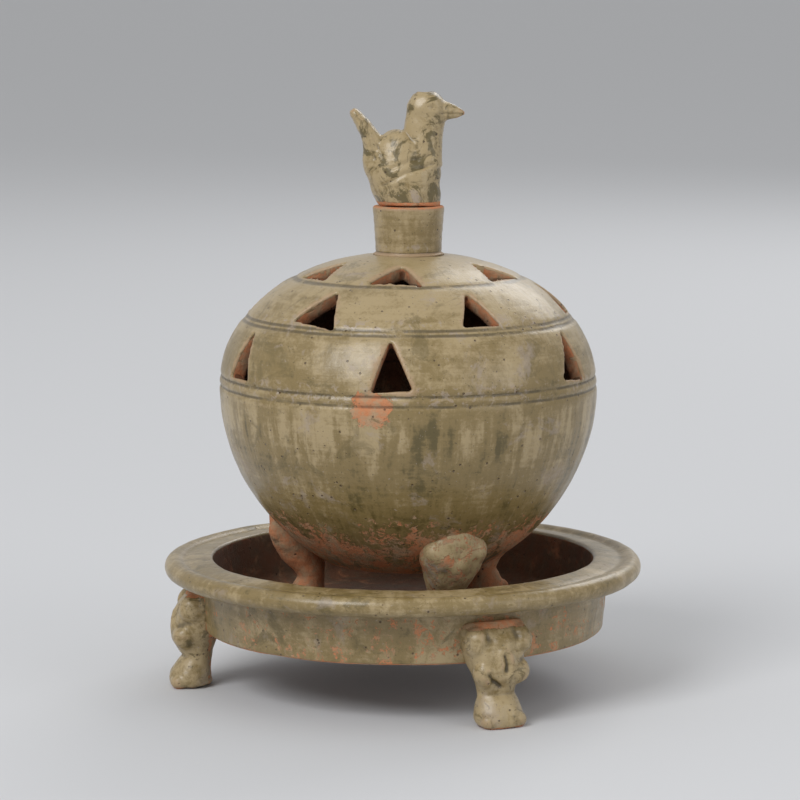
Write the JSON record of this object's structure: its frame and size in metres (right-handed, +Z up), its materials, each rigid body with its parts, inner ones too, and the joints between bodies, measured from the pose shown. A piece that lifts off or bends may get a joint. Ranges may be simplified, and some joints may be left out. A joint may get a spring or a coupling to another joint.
{
  "type": "incense burner",
  "caption": "Footed openwork globe incense burner with triangular vents, standing in a footed drip tray, closed by a bird-shaped stopper.",
  "frame": {"origin": "centre of the tray on the surface that the three tray feet stand on", "axes": "+Z up, -Y towards the viewer of the picture, +X the way the bird faces"},
  "size_m": [0.18, 0.18, 0.2234],
  "materials": {
    "olive_glaze": "thin satin olive celadon glaze with runs, pits and pale wear",
    "foot_glaze": "thin patchy olive-tan glaze over buff clay",
    "tray_clay_and_glaze": "thin olive-tan glaze on the rim and wall, bare orange-pink clay inside",
    "bare_clay": "matt fired orange-pink clay with traces of glaze"
  },
  "bodies": {
    "tray": {"tray_dish": "tray_clay_and_glaze", "tray_foot_front": "foot_glaze", "tray_foot_left": "foot_glaze", "tray_foot_rear": "foot_glaze"},
    "burner": {"burner_bowl": "olive_glaze", "burner_dome": "olive_glaze", "burner_neck": "olive_glaze", "burner_foot_front": "bare_clay", "burner_foot_left": "bare_clay", "burner_foot_rear": "bare_clay"},
    "stopper": {"bird_stopper": "foot_glaze"}
  },
  "joints": [
    {"name": "burner_lift", "type": "slide", "parent": "tray", "child": "burner", "axis": [0, 0, 1], "range_m": [0, 0.04]},
    {"name": "stopper_lift", "type": "slide", "parent": "burner", "child": "stopper", "axis": [0, 0, 1], "range_m": [0, 0.025]}
  ]
}
